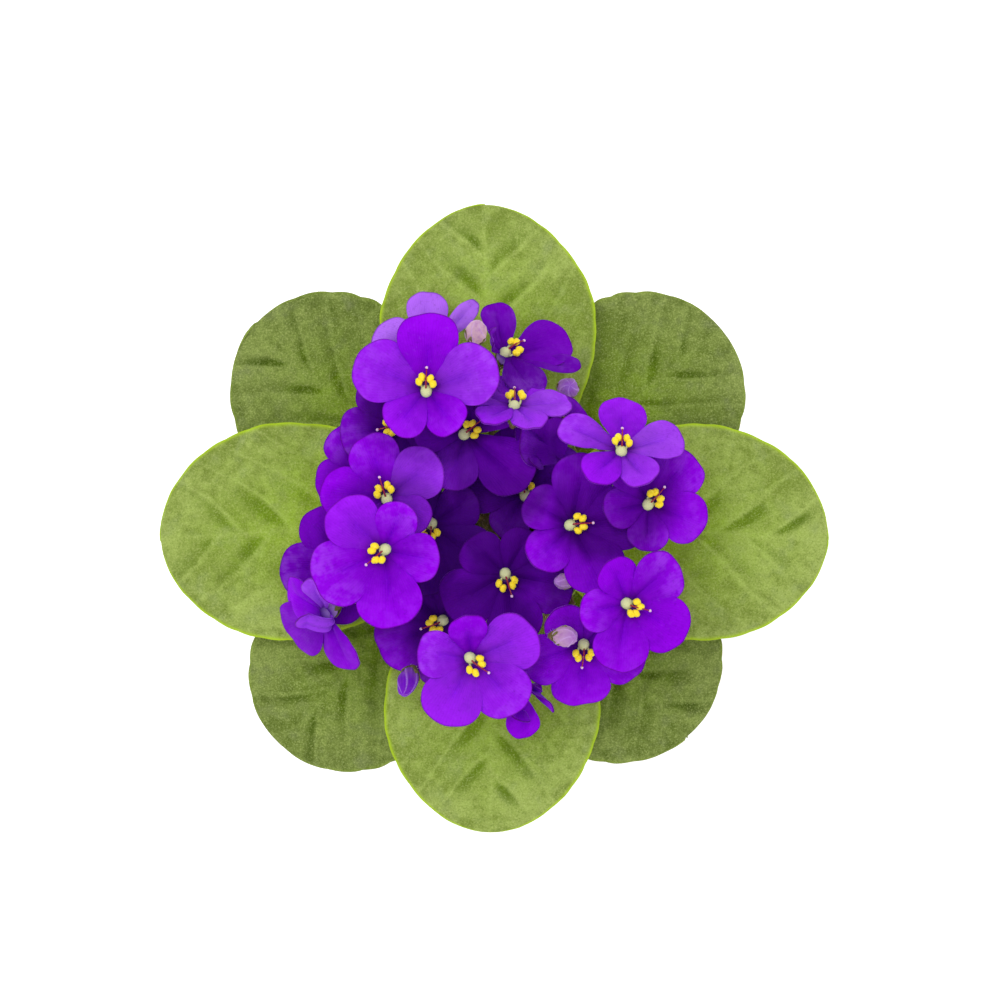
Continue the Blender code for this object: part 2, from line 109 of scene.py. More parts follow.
# Flowers: lean of the axis, the heading it leans toward, heading of the lip lobe, size, cup, tone (below 0 a
# painted shade for flowers set deep in the head, above 0 a painted paler sheen)
Flower = namedtuple("Flower", "lean toward lip size cup tone")
FLOWER_ROWS = (
    (6, 110, 88, 1.04, 1.5, 0.03),
    (45, 60, 20, 0.92, 3.0, -0.62),
    (60, 85, 80, 0.82, 1.0, 0.12),
    (38, 80, 85, 0.90, 1.0, 0.10),
    (15, 10, 48, 0.88, 2.0, -0.10),
    (6, 60, 32, 0.97, 2.0, -0.05),
    (6, 90, 100, 0.92, 2.0, -0.35),
    (4, 120, 106, 0.92, 2.0, 0.0),
    (8, 300, 252, 0.98, 3.0, -0.60),
    (8, 210, 207, 1.04, 1.5, -0.05),
    (6, 60, 8, 1.00, 2.0, -0.10),
    (10, 280, 279, 0.99, 2.0, -0.35),
    (14, 220, 205, 1.0, 2.5, -0.20),
    (12, 265, -46, 0.98, 1.5, 0.06),
    (18, -30, -29, 0.92, 2.0, -0.10),
    (28, -80, -92, 0.93, 2.0, -0.10),
    (20, 90, 92, 0.82, 3.0, 0.62),
    (52, 215, 235, 0.80, 1.0, -0.05),
    (10, 150, 190, 0.80, 2.5, -0.50),
    (12, 170, 120, 0.76, 2.5, -0.30),
    (15, 60, 60, 0.75, 3.0, -0.40),
    (30, -80, -70, 0.80, 4.0, -0.20),
    (10, 200, 190, 0.90, 3.0, -0.50),
)
FLOWERS = {f"corolla_{number:02d}": Flower(*row) for number, row in enumerate(FLOWER_ROWS, 1)}
# How a lobe differs from the plain one: turned further round, stretched, narrowed, folded up, and painted
# paler as sheen above 0 and darker as shade below 0
Fold = namedtuple("Fold", "turn stretch narrow lift tone", defaults=(0.0,))
PLAIN = Fold(0, 1.0, 1.0, 0)
FOLDS = {
    "corolla_01": {
        0: Fold(0, 0.97, 0.92, 0, -0.06), 1: Fold(0, 0.98, 1.0, 0, 0.02), 2: Fold(2, 0.95, 1.0, 0),
        3: Fold(0, 0.93, 0.95, 0), 4: Fold(0, 0.98, 1.0, 0, 0.02),
    },
    "corolla_02": {
        0: Fold(-6, 1.0, 0.95, 12), 1: Fold(10, 0.84, 0.80, 10), 2: Fold(0, 0.7, 0.9, 50),
        3: Fold(55, 1.12, 1.0, 0, -0.15), 4: Fold(34, 1.12, 0.34, 8),
    },
    "corolla_04": {
        0: Fold(0, 1.0, 0.86, 0), 1: Fold(-4, 1.05, 0.72, 0), 4: Fold(4, 1.05, 0.76, 0, 0.08),
    },
    "corolla_06": {
        0: Fold(6, 0.86, 0.8, 10), 3: Fold(0, 1.12, 1.0, 0, 0.04), 4: Fold(-2, 1.18, 0.86, 0),
    },
    "corolla_08": {0: Fold(0, 0.95, 0.92, 0)},
    "corolla_10": {3: Fold(0, 0.88, 1.0, 0), 4: Fold(0, 0.90, 1.0, 0)},
    "corolla_14": {2: Fold(0, 0.95, 0.85, 25, -0.12)},
    "corolla_17": {0: Fold(0, 1.08, 0.74, 0), 4: Fold(22, 1.20, 0.34, 10)},
    "corolla_18": {
        0: Fold(-22, 1.25, 0.95, 0, -0.3), 1: Fold(-21, 1.12, 0.90, 0, -0.15),
        2: Fold(-48, 0.95, 0.60, 125, 0.28), 3: Fold(0, 1.0, 0.8, 20, 0.15),
    },
    "corolla_20": {3: Fold(0, 1.0, 1.0, 55), 4: Fold(0, 0.9, 0.9, 25)},
    "corolla_21": {
        0: Fold(0, 1.1, 1.0, 30), 1: Fold(0, 1.0, 1.0, 45), 2: Fold(0, 1.2, 1.0, 60),
        3: Fold(0, 1.35, 1.0, 122), 4: Fold(0, 1.2, 1.0, 130),
    },
    "corolla_22": {
        0: Fold(-14, 0.90, 0.74, 0, 0.1), 1: Fold(40, 1.25, 0.5, 60), 2: Fold(0, 1.0, 0.9, 60),
        3: Fold(0, 1.0, 0.9, 70), 4: Fold(0, 0.9, 0.8, 84),
    },
}
HEARTLESS = ("corolla_18", "corolla_20", "corolla_21", "corolla_22")  # closed over, so no anthers show
SHADE_REACH = 3.0  # how wide the edge is of the shade that one flower leaves on the next
SHADE_GAP, SHADE_DEPTH = 1.0, 23.0
CUP_RADIUS = 20.0
THROAT_RADIUS = 1.9
TUBE_RADIUS = 2.3
TUBE_LENGTH = 4.0
NOTCH = 0.50  # where neighbouring lobes part, as a share of their length
LOBE_SWEEP = 40.5
FOLD_LENGTH = 6.0
PETAL_THICKNESS = 0.34
OVERLAP = 0.42
OVARY_MARK, ANTHER_MARK, STYLE_MARK, STIGMA_MARK = 0.1, 0.4, 0.7, 0.95
SEED_OF_FLOWERS = 100
SEED_OF_STALKS = 300
SEED_OF_BUDS = 7
VOXEL = 0.38

Bud = namedtuple("Bud", "lean toward length radius tone")
BUDS = {
    "bud_north": Bud(45, 80, 8.0, 3.5, 0.12),
    "bud_north_east": Bud(15, 60, 7.5, 3.7, 0.58),
    "bud_centre": Bud(40, 180, 7.5, 2.6, 0.45),
    "bud_south_east": Bud(35, 0, 9.0, 3.4, 0.40),
    "bud_south_west": Bud(35, 250, 12.0, 3.4, 0.95),
}

# Stage
VIEW_PLACE = (1.6, 5.4, 1100.0)
LENS = 124.8
SENSOR = 36.0
FLOOR_SIZE = 60.0
FLOOR_GLOW = 0.60
AIR_STRENGTH = 0.64
Lamp = namedtuple("Lamp", "name place size power")
LAMPS = (Lamp("overhead", (-0.30, 0.30, 1.6), 1.0, 12.0), Lamp("side_fill", (0.9, -1.1, 0.9), 1.2, 3.0))


# ---- finishes

class Wire:
    """A value somewhere in a finish's nodes; sums on it add the nodes that work them out."""

    def __init__(self, tree, socket):
        self.tree = tree
        self.socket = socket

    def add(self, kind, settings, sockets, output=0):
        node = self.tree.nodes.new(kind)
        for name, value in settings.items():
            setattr(node, name, value)
        plug(self.tree, node, sockets)
        return Wire(self.tree, node.outputs[output])

    def maths(self, operation, *terms, clamp=False):
        settings = {"operation": operation, "use_clamp": clamp}
        return self.add("ShaderNodeMath", settings, dict(enumerate(terms)))

    def __add__(self, other):
        return self.maths("ADD", self, other)

    def __sub__(self, other):
        return self.maths("SUBTRACT", self, other)

    def __rsub__(self, other):
        return self.maths("SUBTRACT", other, self)

    def __mul__(self, other):
        return self.maths("MULTIPLY", self, other)

    def clamped(self):
        return self.maths("ADD", self, 0.0, clamp=True)

    def between(self, low, high):
        """0 at low and under, 1 at high and over, smooth between."""
        settings = {"interpolation_type": "SMOOTHSTEP"}
        return self.add("ShaderNodeMapRange", settings, {"Value": self, "From Min": low, "From Max": high})

    def grain(self, scale, detail=3.0, roughness=0.55):
        """Soft noise over this place, about 1 m / scale across."""
        sockets = {"Vector": self, "Scale": scale, "Detail": detail, "Roughness": roughness}
        return self.add("ShaderNodeTexNoise", {}, sockets)

    def cells(self, scale):
        return self.add("ShaderNodeTexVoronoi", {}, {"Vector": self, "Scale": scale})

    def mixed(self, first, second, how="MIX"):
        """first where this value is 0 and second where it is 1."""
        settings = {"data_type": "RGBA", "blend_type": how, "clamp_factor": True}
        return self.add("ShaderNodeMix", settings, {0: self, 6: first, 7: second}, 2)

    def bumped(self, distance, strength=1.0):
        sockets = {"Height": self, "Distance": distance, "Strength": strength}
        return self.add("ShaderNodeBump", {}, sockets)


def plug(tree, node, sockets):
    """Sets each socket of a node to its number or colour, or joins a wire to it."""
    for name, value in sockets.items():
        if isinstance(value, Wire):
            tree.links.new(value.socket, node.inputs[name])
        else:
            node.inputs[name].default_value = value


def colour(red, green, blue):
    """A colour given as it looks on a screen, 0 to 255."""
    def linear(value):
        value /= 255
        return value / 12.92 if value <= 0.04045 else ((value + 0.055) / 1.055) ** 2.4
    return (linear(red), linear(green), linear(blue), 1.0)


class Finish:
    """A material under way: its place on the piece, the marks left on the piece, and its shader."""

    def __init__(self, name):
        self.material = bpy.data.materials.new(name)
        self.material.use_nodes = True
        self.tree = self.material.node_tree
        self.shader = self.tree.nodes["Principled BSDF"]
        start = Wire(self.tree, None)
        self.place = start.add("ShaderNodeTexCoord", {}, {}, "Object")
        self.start = start

    def mark(self, name):
        return self.start.add("ShaderNodeAttribute", {"attribute_name": name}, {}, "Fac")

    def done(self, **sockets):
        plug(self.tree, self.shader, {name.replace("_", " "): value for name, value in sockets.items()})
        return self.material


def leaf_finish(name, tones):
    tones = Tones(*(colour(*tone) for tone in tones))
    leaf = Finish(name)
    cloud = leaf.place.grain(60, 3)
    patch = leaf.place.grain(330, 4, 0.6)
    speck = leaf.place.grain(1900, 4, 0.8)
    body = (cloud * 0.7 + patch * 0.6 - 0.15).between(0.38, 0.66).mixed(tones.shade, tones.light)
    body = leaf.place.grain(170, 3).between(0.48, 0.78).mixed(body, tones.grey)
    # painted highlight: the raised swells between the veins are lightened
    body = (leaf.mark("swell") * 0.5).mixed(body, tones.light)
    # painted shade in the hollows where the side veins leave the midrib
    hollow = leaf.mark("hollow") * (patch * 1.3 + cloud * 0.9).clamped()
    body = (hollow * 1.25).clamped().mixed(body, tones.hollow)
    vein = leaf.mark("vein") * (patch * 1.1 + 0.25)
    body = vein.clamped().mixed(body, tones.vein)
    # partly the leaf's own yellow-green foot, partly painted light that lifts the flowers' shadow off the
    # leaf
    body = (leaf.mark("base") * (patch * 1.8 + 0.15)).clamped().mixed(body, tones.base)
    body = (speck.between(0.50, 0.66) * 0.42).mixed(body, colour(202, 216, 132))
    body = (speck.between(0.50, 0.32) * 0.55).mixed(body, tones.hollow)
    # painted highlight along the leaf's rim
    body = leaf.mark("rim").mixed(body, tones.rim)
    body = (leaf.mark("under") * 0.9).mixed(body, tones.under)
    stem_tone = patch.between(0.35, 0.7).mixed(colour(96, 92, 44), colour(139, 130, 72))
    body = leaf.mark("stem").mixed(body, stem_tone)
    fuzz = (speck * 0.8 + leaf.place.grain(3600, 2) * 0.4).bumped(0.0003, 0.8)
    return leaf.done(Base_Color=body, Roughness=(speck * 0.25 + 0.62), Normal=fuzz, Specular_IOR_Level=0.10)


def petal_finish(name):
    petal = Finish(name)
    along = petal.mark("along")
    tone = petal.mark("tone")
    cloud = petal.place.grain(110, 3)
    grain = petal.place.grain(1000, 4, 0.65)
    streak = petal.mark("streak") * 95 + cloud * 8
    streak = streak.maths("SINE", streak) * 0.5 + 0.5
    mottle = petal.place.grain(300, 3, 0.6)
    # painted light: the lobes lighten toward their tips, broken up by mottling
    lit_toward_tips = (along * 0.7 + cloud * 0.6 + mottle * 0.5 - 0.45).between(0.1, 1.0)
    body = lit_toward_tips.mixed(colour(118, 0, 196), colour(154, 0, 240))
    # painted shade: flowers set deep in the head are darkened by a tone below 0
    body = (0 - tone).clamped().mixed(body, colour(70, 0, 128))
    # painted sheen: paler where the tone is above 0 and in gleaming patches toward the tips
    gleam = petal.mark("gleam") * along.between(0.30, 1.0) * mottle.between(0.40, 0.66)
    body = (tone.clamped() * 0.78 + gleam * 0.12).clamped().mixed(body, colour(205, 146, 255))
    body = (streak * (1 - along * 0.6) * 0.14).mixed(body, colour(78, 0, 146))
    # painted shade darkening toward the throat
    body = along.between(0.34, 0.04).mixed(body, colour(72, 0, 132))
    body = (grain.between(0.56, 0.8) * 0.05).mixed(body, colour(210, 140, 255))
    body = (grain.between(0.48, 0.2) * 0.35).mixed(body, colour(66, 0, 126))
    # a dark line along each lobe's edge: partly the petal's own margin, partly painted shadow where lobes
    # overlap
    body = (petal.mark("rim") * 0.75).mixed(body, colour(76, 0, 104))
    # painted shade beneath the flowers that overlap this one
    body = (petal.mark("deep") * 0.72).mixed(body, colour(38, 0, 78))
    back = (streak * 0.8).mixed(colour(158, 78, 232), colour(112, 30, 190))
    body = (petal.mark("under") * 0.85).mixed(body, back)
    body = petal.mark("throat").mixed(body, colour(176, 140, 214))
    skin = grain * 0.5 + petal.place.grain(3200, 2) * 0.35 + streak * 0.3 + mottle * 1.4
    bump = skin.bumped(0.00016, 0.9)
    return petal.done(Base_Color=body, Roughness=(grain * 0.2 + 0.5), Normal=bump, Specular_IOR_Level=0.03)


def bud_finish():
    bud = Finish("bud_petal")
    grain = bud.place.grain(900, 4, 0.6)
    tone = bud.mark("tone")
    body = tone.mixed(colour(226, 190, 176), colour(116, 12, 196))
    body = (bud.mark("edge") * 0.75).mixed(body, colour(214, 176, 240))
    body = (grain.between(0.42, 0.75) * 0.4).mixed(body, colour(150, 60, 170))
    green = grain.between(0.3, 0.75).mixed(colour(92, 88, 38), colour(150, 142, 84))
    body = bud.mark("stem").mixed(body, green)
    bump = grain.bumped(0.00015, 0.8)
    return bud.done(Base_Color=body, Roughness=0.6, Normal=bump, Specular_IOR_Level=0.15)


def stalk_finish():
    stalk = Finish("stalk_skin")
    grain = stalk.place.grain(700, 3)
    cloud = stalk.place.grain(90, 2)
    body = (cloud * 0.7 + grain * 0.4).between(0.4, 0.75).mixed(colour(104, 66, 50), colour(126, 118, 66))
    body = stalk.mark("sepal").mixed(body, grain.mixed(colour(70, 74, 30), colour(128, 126, 66)))
    body = stalk.mark("hair").mixed(body, colour(214, 204, 182))
    bump = grain.bumped(0.0001, 0.8)
    return stalk.done(Base_Color=body, Roughness=0.68, Normal=bump, Specular_IOR_Level=0.2)


def heart_finish():
    heart = Finish("flower_heart")
    grain = heart.place.grain(2600, 3)
    part = heart.mark("part")
    body = colour(208, 212, 160)
    tones = {ANTHER_MARK: (255, 226, 44), STYLE_MARK: (150, 18, 60), STIGMA_MARK: (232, 190, 222)}
    for share, tone in tones.items():
        body = part.maths("GREATER_THAN", part, share - 0.05).mixed(body, colour(*tone))
    body = (grain.between(0.5, 0.85) * 0.45).mixed(body, colour(255, 248, 170))
    body = (grain.between(0.42, 0.15) * 0.3).mixed(body, colour(226, 150, 20), "MULTIPLY")
    bump = grain.bumped(0.0002, 0.9)
    return heart.done(Base_Color=body, Roughness=0.55, Normal=bump, Specular_IOR_Level=0.2)


def clay_finish():
    clay = Finish("fired_clay")
    cloud = clay.place.grain(22, 4)
    bloom = clay.place.grain(55, 6, 0.7)
    grit = clay.place.grain(1300, 4, 0.7)
    height = clay.start.add("ShaderNodeSeparateXYZ", {}, {"Vector": clay.place}, "Z")
    body = cloud.between(0.3, 0.7).mixed(colour(172, 92, 60), colour(198, 118, 80))
    low_down = (1.1 - height * 9).clamped()
    lime = (bloom.between(0.52, 0.74) * low_down + bloom.between(0.6, 0.8) * 0.35).clamped()
    body = (lime * 0.55).mixed(body, colour(226, 198, 176))
    body = (grit.between(0.6, 0.8) * 0.45).mixed(body, colour(120, 62, 42))
    body = (grit.between(0.38, 0.2) * 0.4).mixed(body, colour(222, 160, 126))
    body = height.between(0.012, 0.0).mixed(body, colour(140, 78, 54))
    bump = (grit * 0.6 + bloom * 0.6).bumped(0.00035, 0.8)
    return clay.done(Base_Color=body, Roughness=(grit * 0.2 + 0.72), Normal=bump, Specular_IOR_Level=0.25)


def mix_finish():
    peat = Finish("damp_potting_mix")
    clod = peat.place.grain(260, 6, 0.7)
    fibre = peat.place.cells(900)
    body = clod.between(0.3, 0.72).mixed(colour(34, 22, 15), colour(88, 62, 42))
    body = (fibre.between(0.25, 0.0) * 0.6).mixed(body, colour(118, 88, 60))
    bump = (clod + fibre * 0.5).bumped(0.0008)
    return peat.done(Base_Color=body, Roughness=0.92, Normal=bump, Specular_IOR_Level=0.15)


def perlite_finish():
    grain = Finish("perlite_grain")
    pits = grain.place.grain(1800, 4, 0.7)
    body = pits.between(0.3, 0.7).mixed(colour(176, 168, 154), colour(236, 233, 224))
    return grain.done(Base_Color=body, Roughness=0.9, Normal=pits.bumped(0.0004), Specular_IOR_Level=0.2)


def crown_finish():
    crown = Finish("crown_bark")
    grain = crown.place.grain(420, 5, 0.65)
    body = grain.between(0.3, 0.72).mixed(colour(92, 70, 40), colour(142, 140, 78))
    return crown.done(Base_Color=body, Roughness=0.8, Normal=grain.bumped(0.0005), Specular_IOR_Level=0.2)


# ---- making

def take(*pieces):
    """Selects these pieces alone and makes the first the active one."""
    bpy.ops.object.select_all(action="DESELECT")
    for piece in pieces:
        piece.select_set(True)
    bpy.context.view_layer.objects.active = pieces[0]


def linked(name, data):
    holder = bpy.data.objects.new(name, data)
    bpy.context.collection.objects.link(holder)
    return holder


def points_of(piece):
    flat = np.empty(len(piece.data.vertices) * 3)
    piece.data.vertices.foreach_get("co", flat)
    return flat.reshape(-1, 3)


def set_points(piece, points):
    piece.data.vertices.foreach_set("co", np.ascontiguousarray(points, dtype=np.float64).ravel())
    piece.data.update()


def normals_of(piece):
    flat = np.empty(len(piece.data.vertices) * 3)
    piece.data.vertices.foreach_get("normal", flat)
    return flat.reshape(-1, 3)


def mark(piece, name, values):
    """Leaves a number at every point of a piece for its finish to read."""
    attribute = piece.data.attributes.get(name) or piece.data.attributes.new(name, "FLOAT", "POINT")
    spread = np.broadcast_to(np.asarray(values, dtype=np.float64), (len(piece.data.vertices),))
    attribute.data.foreach_set("value", np.ascontiguousarray(spread))


def marks_of(piece, name):
    values = np.zeros(len(piece.data.vertices))
    if name in piece.data.attributes:
        piece.data.attributes[name].data.foreach_get("value", values)
    return values


def sheet(across, along):
    """A flat sheet from -1 to 1 both ways, to be shaped, with each point's two shares."""
    bpy.ops.mesh.primitive_grid_add(x_subdivisions=across, y_subdivisions=along, size=2)
    piece = bpy.context.object
    flat = points_of(piece)
    return piece, flat[:, 0], (flat[:, 1] + 1) / 2


def apply(piece, kind, **settings):
    modifier = piece.modifiers.new(kind.lower(), kind)
    for name, value in settings.items():
        setattr(modifier, name, value)
    bpy.context.view_layer.objects.active = piece
    bpy.ops.object.modifier_apply(modifier=modifier.name)


def edit(piece, *steps):
    """Runs edit-mode operators on all of a piece."""
    take(piece)
    bpy.ops.object.mode_set(mode="EDIT")
    bpy.ops.mesh.select_all(action="SELECT")
    for step, settings in steps:
        step(**settings)
    bpy.ops.object.mode_set(mode="OBJECT")


def weld(piece, distance=0.002, outward=False):
    steps = [(bpy.ops.mesh.remove_doubles, {"threshold": distance * MM})]
    if outward:
        steps.append((bpy.ops.mesh.normals_make_consistent, {"inside": False}))
    edit(piece, *steps)


def joined(name, pieces):
    take(*pieces)
    bpy.ops.object.join()
    pieces[0].name = name
    return pieces[0]


def finished(piece, name, material, nodes=()):
    """Names a piece, gives it its finish and hides the CAD nodes that it stands for."""
    piece.name = name
    piece.data.name = name
    piece.data.materials.clear()
    piece.data.materials.append(material)
    take(piece)
    bpy.ops.object.shade_smooth_by_angle(angle=math.radians(50))
    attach(piece, "root")
    if nodes:
        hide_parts(*nodes)
    return piece


def turned(profile, steps=TURNED_STEPS):
    """Spins a closed profile of (radius, height) about the upright axis."""
    mesh = bpy.data.meshes.new("profile")
    ring = profile[0][0] > 0 and profile[-1][0] > 0
    edges = [(i, i + 1) for i in range(len(profile) - 1)] + ([(len(profile) - 1, 0)] if ring else [])
    mesh.from_pydata([(radius * MM, 0.0, height * MM) for radius, height in profile], edges, [])
    piece = linked("profile", mesh)
    spin = {"steps": steps, "angle": 2 * math.pi, "center": (0, 0, 0), "axis": (0, 0, 1)}
    edit(piece, (bpy.ops.mesh.spin, spin))
    weld(piece, 0.004, outward=True)
    return piece


def divided(profile, step):
    """The same profile with its long stretches cut into steps."""
    points = []
    for start, end in zip(profile, profile[1:]):
        cuts = max(1, round(math.dist(start, end) / step))
        points += [tuple(a + (b - a) * i / cuts for a, b in zip(start, end)) for i in range(cuts)]
    return points + [profile[-1]]


def stem(path, radii, sides=14):
    """A round stem along a path, closed at both ends."""
    path = np.array([path[0]] + list(path) + [path[-1]], dtype=float)
    radii = np.array([0.0] + list(radii) + [0.0])
    ahead = np.gradient(path[1:-1], axis=0)
    ahead = np.vstack([ahead[:1], ahead, ahead[-1:]])
    ahead /= np.linalg.norm(ahead, axis=1)[:, None]
    side = np.cross(ahead[0], (0.31, 0.17, 0.93) if abs(ahead[0][2]) < 0.8 else (0.95, 0.2, 0.1))
    sides_of = []
    for direction in ahead:
        side = side - direction * np.dot(side, direction)
        side /= np.linalg.norm(side)
        sides_of.append(side)
    right = np.array(sides_of)
    up = np.cross(ahead, right)
    piece, u, v = sheet(sides, len(path) - 1)
    row = np.rint(v * (len(path) - 1)).astype(int)
    turn = (np.pi * (u + 1))[:, None]
    out = np.cos(turn) * right[row] + np.sin(turn) * up[row]
    set_points(piece, (path[row] + out * radii[row][:, None]) * MM)
    weld(piece, 0.004)
    return piece


def ball(place, radii, segments=12, rings=8):
    bpy.ops.mesh.primitive_uv_sphere_add(segments=segments, ring_count=rings, radius=1.0)
    piece = bpy.context.object
    set_points(piece, (points_of(piece) * np.array(radii) + np.array(place)) * MM)
    return piece


def bow(start, first, second, end, count):
    """Points along a bow from start to end, drawn toward two pulls."""
    t = np.linspace(0, 1, count)[:, None]
    start, first, second, end = (np.array(p, dtype=float) for p in (start, first, second, end))
    return (1 - t) ** 3 * start + 3 * t * (1 - t) ** 2 * first + 3 * t**2 * (1 - t) * second + t**3 * end


def ripple(x, y, seed, size):
    """Gentle uneven waves about size across, from -1 to 1."""
    rng = np.random.default_rng(seed)
    total = 0.0
    for _ in range(5):
        turn, phase = rng.uniform(0, 2 * np.pi, 2)
        pace = 2 * np.pi / size * rng.uniform(0.6, 1.5)
        total = total + np.sin(pace * (x * np.cos(turn) + y * np.sin(turn)) + phase)
    return total / 3.2


def placed(piece, turn, place):
    """Turns a piece by a matrix and moves it to its place, in its mesh."""
    turn = np.array(turn)
    set_points(piece, points_of(piece) @ turn.T + np.array(place) * MM)


# ---- pot, mix and crown

def wall_radius(height, inset):
    return BASE_RADIUS + (WALL_TOP_RADIUS - BASE_RADIUS) * height / POT_HEIGHT - inset


def make_pot(material):
    profile = [
        (DRAIN_RADIUS, FLOOR), (wall_radius(FLOOR, WALL), FLOOR), (wall_radius(POT_HEIGHT, WALL), POT_HEIGHT),
        (RIM_RADIUS, POT_HEIGHT), (RIM_RADIUS - COLLAR_TAPER, COLLAR_FOOT),
        (wall_radius(COLLAR_FOOT, 0.0), COLLAR_FOOT), (BASE_RADIUS, 0.0), (DRAIN_RADIUS, 0.0),
    ]
    pot = turned(profile)
    apply(pot, "BEVEL", width=CLAY_EDGE * MM, segments=4, limit_method="ANGLE", angle_limit=math.radians(30))
    cut_walls(pot, 22)
    leave_rings(pot)
    return finished(pot, "clay_pot", material, ["pot"])


def cut_walls(pot, cuts):
    """Cuts the tall faces of the walls into rows, so that they can be shaped."""
    tall = [edge for edge in pot.data.edges if wall_rise(pot, edge) > 4 * MM]
    for items in (pot.data.edges, pot.data.vertices, pot.data.polygons):
        for item in items:
            item.select = False
    for edge in tall:
        edge.select = True
    take(pot)
    bpy.ops.object.mode_set(mode="EDIT")
    bpy.ops.mesh.select_mode(type="EDGE")
    bpy.ops.mesh.subdivide(number_cuts=cuts)
    bpy.ops.mesh.select_mode(type="VERT")
    bpy.ops.object.mode_set(mode="OBJECT")


def wall_rise(pot, edge):
    """How far an edge of the walls climbs; 0 for one near the axis."""
    first, second = (pot.data.vertices[i].co for i in edge.vertices)
    return abs(first.z - second.z) if math.hypot(first.x, first.y) > 0.02 else 0.0


def leave_rings(pot):
    """The faint rings that a potter's fingers leave on the walls."""
    points = points_of(pot)
    radius = np.hypot(points[:, 0], points[:, 1])
    height = points[:, 2] / MM
    turn = np.arctan2(points[:, 1], points[:, 0])
    wave = 0.10 * np.sin(height * 2.1 + 0.4 * np.sin(turn))
    wave += 0.07 * np.sin(height * 4.7 + 1.3 + 0.6 * np.sin(turn * 2))
    wave *= (radius > 20 * MM) & (height > 1.5) & (height < POT_HEIGHT - 1.5)
    points[:, :2] *= (1 + wave * MM / np.maximum(radius, 1 * MM))[:, None]
    set_points(pot, points)


def mound_height(radius):
    """Height of the potting mix at a distance from the middle."""
    rise = np.interp(radius, [0, CROWN_RADIUS, MOUND_RADIUS, 37.0, 60.0], [MOUND, MOUND, MOUND / 2, 0.0, 0.0])
    return MIX_TOP + rise


def make_mix(material):
    edge = wall_radius(MIX_TOP, WALL + 0.15)
    foot = FLOOR + GAP
    top = [(r, float(mound_height(r))) for r in np.linspace(edge, 0.0, 64)]
    profile = [(0.0, foot), (wall_radius(foot, WALL + 1.3), foot)] + top
    mix = turned(profile, 160)
    points = points_of(mix)
    radius = np.hypot(points[:, 0], points[:, 1]) / MM
    upper = points[:, 2] > (MIX_TOP - 0.5) * MM
    for i in np.nonzero(upper)[0]:
        spot = Vector(points[i]) * 1000
        lump = noise.fractal(spot * 0.33, 0.9, 2.1, 5) * 0.9 + noise.noise(spot * 1.1) * 0.35
        points[i, 2] += lump * MM * min(1.0, (edge - radius[i]) / 2 + 0.2) * 0.9
    set_points(mix, points)
    return finished(mix, "potting_mix_bed", material, ["potting_mix"])


def scatter(name, count, material, sizes, flatness, seed):
    """Loose bits lying on the mix, each an uneven lump."""
    rng = np.random.default_rng(seed)
    bpy.ops.mesh.primitive_ico_sphere_add(subdivisions=1, radius=1.0)
    model = bpy.context.object
    corners = points_of(model)
    faces = [tuple(face.vertices) for face in model.data.polygons]
    bpy.data.objects.remove(model)
    all_points, all_faces = [], []
    for _ in range(count):
        size = rng.uniform(*sizes)
        reach = (WALL_TOP_RADIUS - WALL - 3.5 - size) * math.sqrt(rng.uniform(0.03, 1))
        heading = rng.uniform(0, 2 * math.pi)
        x, y = reach * math.cos(heading), reach * math.sin(heading)
        lump = corners * size * rng.uniform(0.65, 1.3, (len(corners), 1)) * (1, rng.uniform(0.5, 1), flatness)
        spin = Matrix.Rotation(rng.uniform(0, 6.28), 3, "Z")
        turn = np.array(spin @ Matrix.Rotation(rng.uniform(-0.7, 0.7), 3, "X"))
        all_faces += [tuple(i + len(all_points) * len(corners) for i in face) for face in faces]
        all_points.append(lump @ turn.T + (x, y, float(mound_height(reach)) + size * 0.25))
    mesh = bpy.data.meshes.new(name)
    mesh.from_pydata([tuple(p * MM) for p in np.vstack(all_points)], [], all_faces)
    return finished(linked(name, mesh), name, material)


def make_crown(material):
    foot = MIX_TOP + MOUND - ROOT_STOCK_DEPTH
    profile = [
        (0.0, foot), (CROWN_RADIUS, foot), (CROWN_RADIUS, CROWN_TOP - 1.5), (CROWN_RADIUS - 1.5, CROWN_TOP),
        (0.0, CROWN_TOP),
    ]
    crown = turned(divided(profile, 0.5), 72)
    points = points_of(crown)
    turn = np.arctan2(points[:, 1], points[:, 0])
    height = points[:, 2] / MM
    scar = np.sin(turn * 4 + height * 0.9) * np.sin(height * 1.6 + 2 * np.sin(turn))
    swell = (SCAR_DEPTH * scar - 0.1) * (height < CROWN_TOP - 1.0)
    points[:, :2] *= (1 + swell / CROWN_RADIUS)[:, None]
    set_points(crown, points)
    return finished(crown, "crown_stem", material, ["crown"])


# ---- leaves

def blade_outline(along, tip):
    """Half the blade's width as a share of the widest, along its length."""
    base = np.sqrt(np.clip(1 - (1 - along / WIDEST_SHARE) ** 2, 0, 1))
    beyond = np.clip((along - WIDEST_SHARE) / (1 - WIDEST_SHARE), 0, 1)
    power, root = tip
    return np.where(along <= WIDEST_SHARE, base, np.clip(1 - beyond**power, 0, 1) ** root)


def spine_height(kind, along):
    base = kind.base_z * (1 - along) * (1 - 2 * along)
    return base + 4 * kind.mid_z * along * (1 - along) + kind.tip_z * along * (2 * along - 1)


Veins = namedtuple("Veins", "to_rib to_vein strength between ahead")


